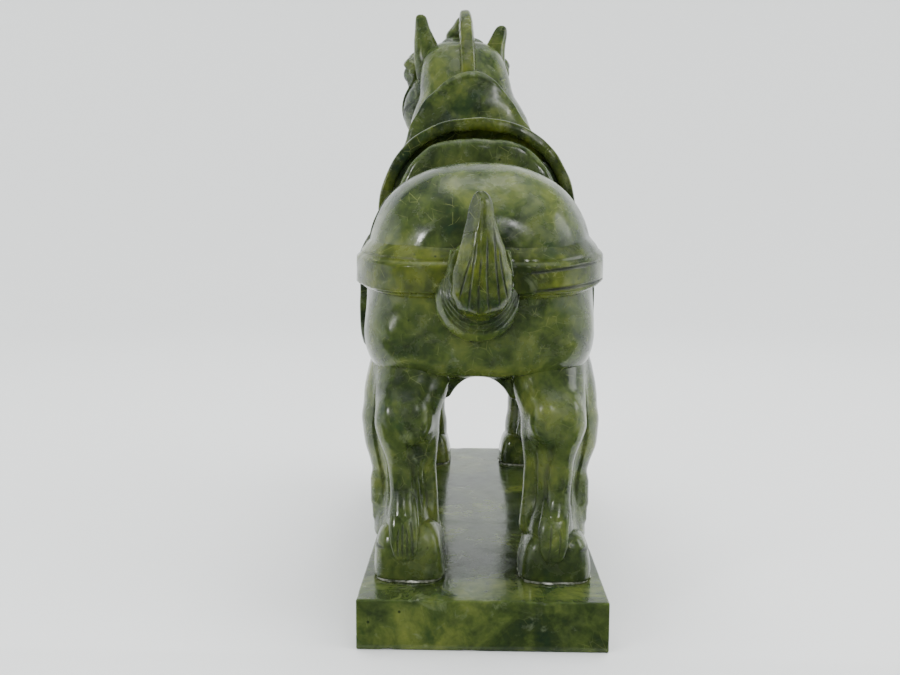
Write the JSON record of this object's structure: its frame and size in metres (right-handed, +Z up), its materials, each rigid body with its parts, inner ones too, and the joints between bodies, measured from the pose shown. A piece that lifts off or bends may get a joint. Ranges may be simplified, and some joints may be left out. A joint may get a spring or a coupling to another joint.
{
  "type": "carved stone horse figurine",
  "caption": "Carved green stone horse with saddle and harness, glued by its hooves to a plain rectangular slab of the same stone.",
  "frame": {"origin": "centre of the slab's underside", "axes": "+Z up; the horse faces -Y along the slab; +X is the horse's left side, across the slab"},
  "size_m": [0.1048, 0.2558, 0.2658],
  "materials": {
    "carved_stone": "polished, mottled olive and dark green",
    "saddle_stone": "polished, mottled olive and dark green",
    "thin_stone": "polished, translucent yellow green where thin",
    "slab_stone": "flat polished, mottled green with sawn sharp edges",
    "adhesive": "dull whitish cured resin"
  },
  "bodies": {
    "root": {"base_slab": "slab_stone", "glue_bed_front_left": "adhesive", "glue_bed_front_right": "adhesive", "glue_bed_hind_left": "adhesive", "glue_bed_hind_right": "adhesive", "hoof_front_left": "carved_stone", "hoof_front_right": "carved_stone", "hoof_hind_left": "carved_stone", "hoof_hind_right": "carved_stone", "leg_front_left": "carved_stone", "leg_front_right": "carved_stone", "leg_hind_left": "carved_stone", "leg_hind_right": "carved_stone", "trunk": "carved_stone", "neck": "carved_stone", "head": "carved_stone", "ear_left": "carved_stone", "ear_right": "carved_stone", "eye_left": "carved_stone", "eye_right": "carved_stone", "forelock": "carved_stone", "mane": "thin_stone", "bridle": "carved_stone", "saddle_blanket": "saddle_stone", "saddle_flap_left": "saddle_stone", "saddle_flap_right": "saddle_stone", "saddle_seat": "saddle_stone", "saddle_cantle": "thin_stone", "saddle_pommel": "saddle_stone", "crupper_strap": "thin_stone", "breast_strap": "thin_stone", "tail_knot": "carved_stone", "tail_tip": "thin_stone"}
  },
  "joints": []
}
